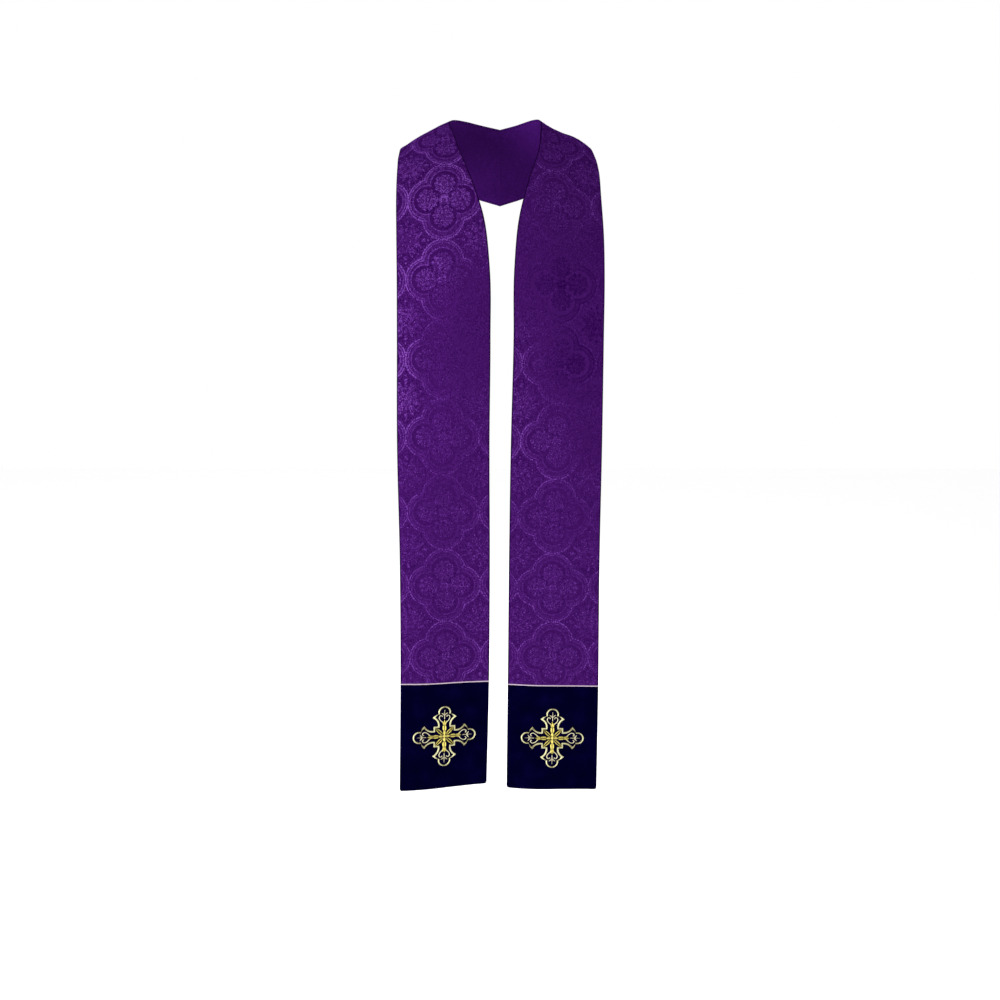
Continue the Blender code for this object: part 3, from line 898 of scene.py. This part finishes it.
def piping_satin():
    n = Nodes("piping_satin")
    fibre = n.uneven(n.grain()[0], FIBRE_SCALE, 2.0, 0.6)
    colour = n.mixed(fibre, CORD_DARK, CORD_LIGHT)
    return n.finish(colour, 0.42, fibre, 0.3, 0.0001, [("Sheen Weight", 0.2)])


piping_materials = (piping_satin(), brocade_materials[1])
for side, strip in strips.items():
    row = strip.frame(strip.seam)
    outward = row[4]
    over_seam = row[1] - row[0]
    width = over_seam.length
    sideways = outward.cross(over_seam.normalized())
    shape = bmesh.new()
    grain = {}
    cord_rows, tape_rows = round(width / PIPING_STEP), round(width / TAPE_STEP)
    grid = bmesh.ops.create_grid(shape, x_segments=PIPING_ROUND, y_segments=cord_rows, size=0.5)
    for vert in grid["verts"]:
        share = vert.co.y + 0.5
        turn = (vert.co.x + 0.5) * 2 * math.pi
        lift = crease_height(CREASES[side], strip.seam, share, width)
        centre = strip.place(row, share) + outward * (lift - CLOTH / 2)
        ply = math.cos(PLIES * (turn - 2 * math.pi * share * width / TWIST))
        radius = PIPING_DIAMETER / 2 - PLY_DEPTH * (1 - ply) / 2
        radius *= math.sqrt(smooth(*CORD_END, min(share, 1 - share) * width))
        grain[vert] = (share * width, turn * PIPING_DIAMETER / 2)
        vert.co = centre + (outward * math.cos(turn) + sideways * math.sin(turn)) * radius
    around = len(TAPE_PROFILE)
    tape = bmesh.ops.create_grid(shape, x_segments=around, y_segments=tape_rows, size=0.5)
    for vert in tape["verts"]:
        share = vert.co.y + 0.5
        over, depth = TAPE_PROFILE[round((vert.co.x + 0.5) * around) % around]
        beside = strip.frame(strip.seam + over * TAPE_HALF)
        lift = crease_height(CREASES[side], strip.seam, share, width)
        grain[vert] = (share * width, over * TAPE_HALF)
        vert.co = strip.place(beside, share) + beside[4] * (lift - CLOTH - depth * TAPE)
    set_material(tape["verts"], 1)
    lay_grain(shape, grain)
    bmesh.ops.remove_doubles(shape, verts=shape.verts, dist=1e-6)
    close_up(shape)
    cord = as_piece(f"piping_cord_{side}", shape, piping_materials)
    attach(cord, "root")
    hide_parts(f"piping_{side}")

# ----------
# The crosses. Budded crosses worked straight into the velvet in padded satin stitch: an
# outline in pale gold thread, leaves and bars in a richer gold, and fine scrolls and tips
# in the palest. Each column of stitches lies between two rails, thread beside thread.
THREAD = 0.00042  # pitch of the threads in a column
THREAD_RELIEF = 0.10  # of a column's height
STITCH_HEIGHT = 0.0013
COLUMN_FACES = 6  # faces over the top of a column
THREADS_COUNTED = 0.8  # the share of the longer rail's run on which they are counted
STITCHES_OFF = 0.0001  # how far the columns' feet stand off the pile
OUTLINE, FILLING, FINE = range(3)  # the three threads

# Sizes of one arm that points up, in parts of the cross's reach. Its left mirrors its right.
LINE = 0.047
LOBE_CENTRE, LOBE_RADIUS, LOBE_BASE = 0.800, 0.200, 17.5
POINT = (0.385, 0.630)
NECK = (0.205, 0.345)
STEP = 0.345
POINT_DRAWN = (2.1, 0.15)  # how far in and up the line's inner edge turns at the point
SIDE_BEND, SHOULDER_BEND = 0.055, -0.022
LEAF_ROOT, LEAF_TIP, LEAF_HALF, LEAF_RIB = 0.070, 0.430, 0.051, 0.020
PETAL_ROOT, PETAL_TIP, PETAL_HALF = 0.040, 0.190, 0.044
MIDDLE_PRONG, MIDDLE_PRONG_HALF = (0.352, 0.542), 0.021
BAR_ROOT, BAR_TIP, BAR_HALF, BAR_RIB = 0.195, 0.350, 0.062, 0.007
PRONG = ((0.030, 0.350), (0.034, 0.405), (0.046, 0.460), (0.064, 0.510))
SCROLL = ((0.044, 0.452), (0.098, 0.500), (0.148, 0.562), (0.168, 0.620), (0.152, 0.672),
          (0.115, 0.694), (0.080, 0.678), (0.070, 0.650))
CROSSBAR = ((0.004, 0.742), (0.036, 0.738), (0.068, 0.752), (0.098, 0.782))
BUDLET = ((0.006, 0.700), (0.030, 0.712), (0.052, 0.704))
PRONG_HALF, SCROLL_HALF, CROSSBAR_HALF, BUDLET_HALF = 0.016, 0.0140, 0.0135, 0.011
STEM_FOOT, STEM_TIP, STEM_HALF = 0.580, 0.872, 0.0125
# BUTTON_LIE is how far the button's threads count as lying across, for the painted sheen.
BUTTON, BUTTON_HEIGHT, BUTTON_LIE = 0.046, 0.5, 0.8  # its height is in parts of its radius


def arc(centre, radius, start, end, count):
    angles = [math.radians(start + (end - start) * i / count) for i in range(count + 1)]
    return [(centre[0] + radius * math.cos(a), centre[1] + radius * math.sin(a)) for a in angles]


def bent(start, end, bend, count):
    """Points between two ends, bowed to the left of the way from start to end."""
    across = (start[1] - end[1], end[0] - start[0])
    length = math.hypot(*across)
    points = []
    for i in range(count + 1):
        t = i / count
        out = bend * 4 * t * (1 - t) / length
        x = start[0] + (end[0] - start[0]) * t + across[0] * out
        y = start[1] + (end[1] - start[1]) * t + across[1] * out
        points.append((x, y))
    return points


def arm_outline(inset):
    """Half of an arm's edge, from the step's corner to the top of the lobe, moved in."""
    lobe = arc((0.0, LOBE_CENTRE), LOBE_RADIUS - inset, -LOBE_BASE, 90, 18)
    sharp = (POINT[0] - POINT_DRAWN[0] * inset, POINT[1] + POINT_DRAWN[1] * inset)
    side = bent((NECK[0] - inset, NECK[1] - inset), sharp, SIDE_BEND, 12)
    shoulder = bent(sharp, lobe[0], SHOULDER_BEND, 8)
    half = [(STEP - inset, STEP - inset), *side, *shoulder[1:-1], *lobe]
    return half + [(-x, y) for x, y in reversed(half)][1:-1]


def smooth_path(points, count):
    """A curve through a few points, with count steps between each two."""
    ends = [points[0], *points, points[-1]]
    path = []
    for i in range(len(points) - 1):
        p = [Vector(q) for q in ends[i:i + 4]]
        for k in range(count):
            t = k / count
            path.append(0.5 * (2 * p[1] + (p[2] - p[0]) * t
                               + (2 * p[0] - 5 * p[1] + 4 * p[2] - p[3]) * t**2
                               + (3 * p[1] - p[0] - 3 * p[2] + p[3]) * t**3))
    return [tuple(q) for q in path] + [tuple(points[-1])]


def rails(path, half_width):
    """The two edges of a line of stitches. half_width(t) runs from the path's start to end."""
    left, right = [], []
    for i, (x, y) in enumerate(path):
        before, after = path[max(i - 1, 0)], path[min(i + 1, len(path) - 1)]
        run = math.hypot(after[0] - before[0], after[1] - before[1])
        nx, ny = (before[1] - after[1]) / run, (after[0] - before[0]) / run
        half = half_width(i / (len(path) - 1))
        left.append((x + nx * half, y + ny * half))
        right.append((x - nx * half, y - ny * half))
    return left, right


def spindle(width, blunt=0.12):
    return lambda t: width * max(math.sin(math.pi * min(max(t, 0.0), 1.0)) ** 0.7, blunt)


def scroll_width(t):
    return SCROLL_HALF * (0.75 + 0.25 * math.sin(math.pi * t))


def stem_width(t):
    return STEM_HALF * (1 - 0.6 * t)


def turned(points, degrees):
    c, s = math.cos(math.radians(degrees)), math.sin(math.radians(degrees))
    return [(x * c - y * s, x * s + y * c) for x, y in points]


def upright(root, tip, count):
    """Points straight up the middle of an arm."""
    return [(0.0, root + (tip - root) * i / count) for i in range(count + 1)]


def arm_columns():
    """The columns inside one arm that points up: two rails, their height and their thread."""
    columns = []
    for flip in (1, -1):
        leaf = upright(LEAF_ROOT, LEAF_TIP, 20)
        swell = [math.sin(math.pi * min(i / 20, 0.999) ** 0.8) for i in range(21)]
        rib = [(flip * LEAF_RIB * grown**0.6, y) for grown, (_, y) in zip(swell, leaf)]
        edge = [(x + flip * max((LEAF_HALF - LEAF_RIB) * grown, 0.005), y)
                for grown, (x, y) in zip(swell, rib)]
        columns.append((turned(edge, 45), turned(rib, 45), 1.0, FILLING))
        bar = upright(BAR_ROOT, BAR_TIP, 16)
        edge = [(flip * BAR_HALF * (0.72 + 0.28 * math.sin(math.pi * i / 16) ** 0.6), y)
                for i, (_, y) in enumerate(bar)]
        columns.append((edge, [(flip * BAR_RIB, y) for _, y in bar], 0.85, FILLING))
        for path, width, height, thread in (
            (PRONG, spindle(PRONG_HALF), 0.7, FILLING),
            (SCROLL, scroll_width, 0.6, FINE),
            (CROSSBAR, spindle(CROSSBAR_HALF), 0.55, FINE),
            (BUDLET, spindle(BUDLET_HALF), 0.5, FINE),
        ):
            curve = smooth_path([(flip * x, y) for x, y in path], 8)
            columns.append((*rails(curve, width), height, thread))
    for path, width, height, thread in (
        (upright(PETAL_ROOT, PETAL_TIP, 12), spindle(PETAL_HALF), 0.9, FILLING),
        (upright(*MIDDLE_PRONG, 12), spindle(MIDDLE_PRONG_HALF), 0.8, FILLING),
        (upright(STEM_FOOT, STEM_TIP, 16), stem_width, 0.5, FINE),
    ):
        columns.append((*rails(path, width), height, thread))
    return columns


def threads_between(left, right, closed):
    """Both rails cut to the same places, two to a thread."""
    pairs = list(zip(left, right))
    if closed:
        pairs.append(pairs[0])
    cut = []
    for (a, b), (c, d) in zip(pairs, pairs[1:]):
        run = max(math.hypot(c[0] - a[0], c[1] - a[1]), math.hypot(d[0] - b[0], d[1] - b[1]))
        count = max(1, round(run * CROSS_REACH / THREAD * 2 * THREADS_COUNTED))
        for k in range(count):
            t = k / count
            cut.append((Vector(a).lerp(Vector(c), t), Vector(b).lerp(Vector(d), t)))
    if closed and len(cut) % 2:
        cut.pop()
    return cut if closed else cut + [(Vector(pairs[-1][0]), Vector(pairs[-1][1]))]


def satin_column(shape, grain, left, right, height, thread, closed=False):
    """One padded column of satin stitch between two rails, flat, in metres."""
    cut = threads_between(left, right, closed)
    lie = shape.verts.layers.float["lie"]
    count = len(cut) if closed else len(cut) - 1
    around = COLUMN_FACES + 1
    grid = bmesh.ops.create_grid(shape, x_segments=around, y_segments=count, size=0.5)
    for vert in grid["verts"]:
        i = round((vert.co.y + 0.5) * count)
        k = round((vert.co.x + 0.5) * around)
        a, b = cut[i % len(cut)]
        turn = math.pi * (k % around) / COLUMN_FACES
        raised = 1.0 + THREAD_RELIEF * (0.5 if i % 2 else -0.5)
        spot = a.lerp(b, (1 - math.cos(turn)) / 2) * CROSS_REACH
        vert.co = (spot.x, spot.y, height * math.sin(turn) * raised)
        grain[vert] = (k / COLUMN_FACES, i * THREAD / 2)
        # How far the threads lie across, from which the gold paints its sheen.
        vert[lie] = abs((b - a).normalized().x)
    set_material(grid["verts"], thread)
    bmesh.ops.remove_doubles(shape, verts=grid["verts"], dist=2e-6)


def gold_thread(name, dark, light, lie_sheen, roughness):
    """Its fourth argument is the painted sheen: how much lighter a column that lies across is
    painted than one that lies along.
    """
    n = Nodes(name)
    _, across, down = n.grain()
    twist = n.math("SINE", n.scaled(down, 2 * math.pi / THREAD, across))
    fleck = n.uneven(n.add("ShaderNodeTexCoord", output="Object"), 1400.0, 2.0, 0.6)
    # Painted sheen: threads that lie across are painted lighter, threads that lie along darker.
    lie = n.minus(n.attribute("lie"), 0.6)
    tone = n.scaled(lie, lie_sheen, n.scaled(twist, 0.20, fleck))
    # Painted shade: each column darkens towards its rails, where its threads turn down into the
    # velvet.
    rail_shade_fade = n.fade(n.folded(across, 0.5), 0.0, 0.34)
    tone = n.times(tone, n.scaled(rail_shade_fade, 0.95, 0.05))
    colour = n.mixed(tone, dark, light)
    return n.finish(colour, roughness, twist, 0.35, 0.00012, [("Metallic", 0.55)])


gold_materials = (
    gold_thread("gold_outline", (0.075, 0.060, 0.012), (0.70, 0.68, 0.39), 0.60, 0.36),
    gold_thread("gold_filling", (0.100, 0.074, 0.006), (0.85, 0.735, 0.165), 0.30, 0.34),
    gold_thread("gold_fine", (0.150, 0.125, 0.055), (0.86, 0.81, 0.57), 0.30, 0.40),
)
quarters = (0, 90, 180, 270)
outer_rail = [spot for quarter in quarters for spot in turned(arm_outline(0.0), quarter)]
inner_rail = [spot for quarter in quarters for spot in turned(arm_outline(LINE), quarter)]
for side, strip in strips.items():
    shape = bmesh.new()
    lie = shape.verts.layers.float.new("lie")
    grain = {}
    satin_column(shape, grain, outer_rail, inner_rail, STITCH_HEIGHT, OUTLINE, closed=True)
    for quarter in quarters:
        for left, right, height, thread in arm_columns():
            satin_column(shape, grain, turned(left, quarter), turned(right, quarter),
                         STITCH_HEIGHT * height, thread)
    button = bmesh.ops.create_uvsphere(shape, u_segments=20, v_segments=10,
                                       radius=BUTTON * CROSS_REACH)
    for vert in button["verts"]:
        vert.co.z *= BUTTON_HEIGHT
        grain[vert] = (0.5, vert.co.y)
        vert[lie] = BUTTON_LIE
    set_material(button["verts"], FILLING)
    close_up(shape)
    lay_grain(shape, grain)
    for vert in shape.verts:
        rise = vert.co.z + STITCHES_OFF - stitch_dip(vert.co.xy.length)
        vert.co = strip.on_band(vert.co.x, vert.co.y, rise)
    cross = as_piece(f"gold_cross_{side}", shape, gold_materials)
    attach(cross, "root")
    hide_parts(f"cross_{side}")

# ----------
# The studio floor. One wide, plain, matt sheet of near white, well below the hems.
# It only catches the light, and isn't part of the stole.
FLOOR_HALF, FLOOR_DROP = 6.0, 1.48
floor_look = Nodes("studio_floor")
floor_look.put(floor_look.shader.inputs["Base Color"], (0.97, 0.97, 0.97, 1.0))
floor_look.put(floor_look.shader.inputs["Roughness"], 0.8)
shape = bmesh.new()
bmesh.ops.create_grid(shape, x_segments=1, y_segments=1, size=FLOOR_HALF)
bmesh.ops.translate(shape, verts=shape.verts, vec=(0, 0, -FLOOR_DROP))
floor = as_piece("studio_floor", shape, [floor_look.material])

# ----------
# The light. White surroundings light everything evenly, a soft key from the wearer's right
# draws the figure of the brocade, a weak fill opens the other side, and a lamp behind
# grazes the reverse.
world = bpy.data.worlds.new("studio")
bpy.context.scene.world = world
world.use_nodes = True
surroundings = world.node_tree.nodes["Background"]
surroundings.inputs["Color"].default_value = (1.0, 1.0, 1.0, 1.0)
surroundings.inputs["Strength"].default_value = 1.0

LIT = Vector((0.0, -0.1, -0.5))  # where every lamp points
for name, place, size, power in (
    ("key", (-2.3, -2.1, -0.30), 1.3, 126.0),
    ("fill", (1.6, -1.5, -0.95), 1.0, 14.0),
    ("back", (1.9, 1.3, 0.1), 0.8, 60.0),
):
    light = bpy.data.lights.new(name, "AREA")
    light.size = size
    light.energy = power
    lamp = bpy.data.objects.new(name, light)
    lamp.location = place
    lamp.rotation_euler = (LIT - Vector(place)).to_track_quat("-Z", "Y").to_euler()
    bpy.context.scene.collection.objects.link(lamp)

bpy.context.scene.view_settings.view_transform = "Standard"

# ----------
# The camera. It stands in front at chest height, 1.66 m from the nape, and looks a little
# down, so that the whole stole shows from the nape to the hems.
LOOKS_DOWN = 10.1  # degrees
camera = bpy.data.cameras.new("camera")
camera.lens = 30.06
camera.sensor_width = 36.0
viewer = bpy.data.objects.new("camera", camera)
viewer.location = (0.0, -1.66, -0.408)
viewer.rotation_euler = (math.radians(90 - LOOKS_DOWN), 0.0, 0.0)
bpy.context.scene.collection.objects.link(viewer)
bpy.context.scene.camera = viewer
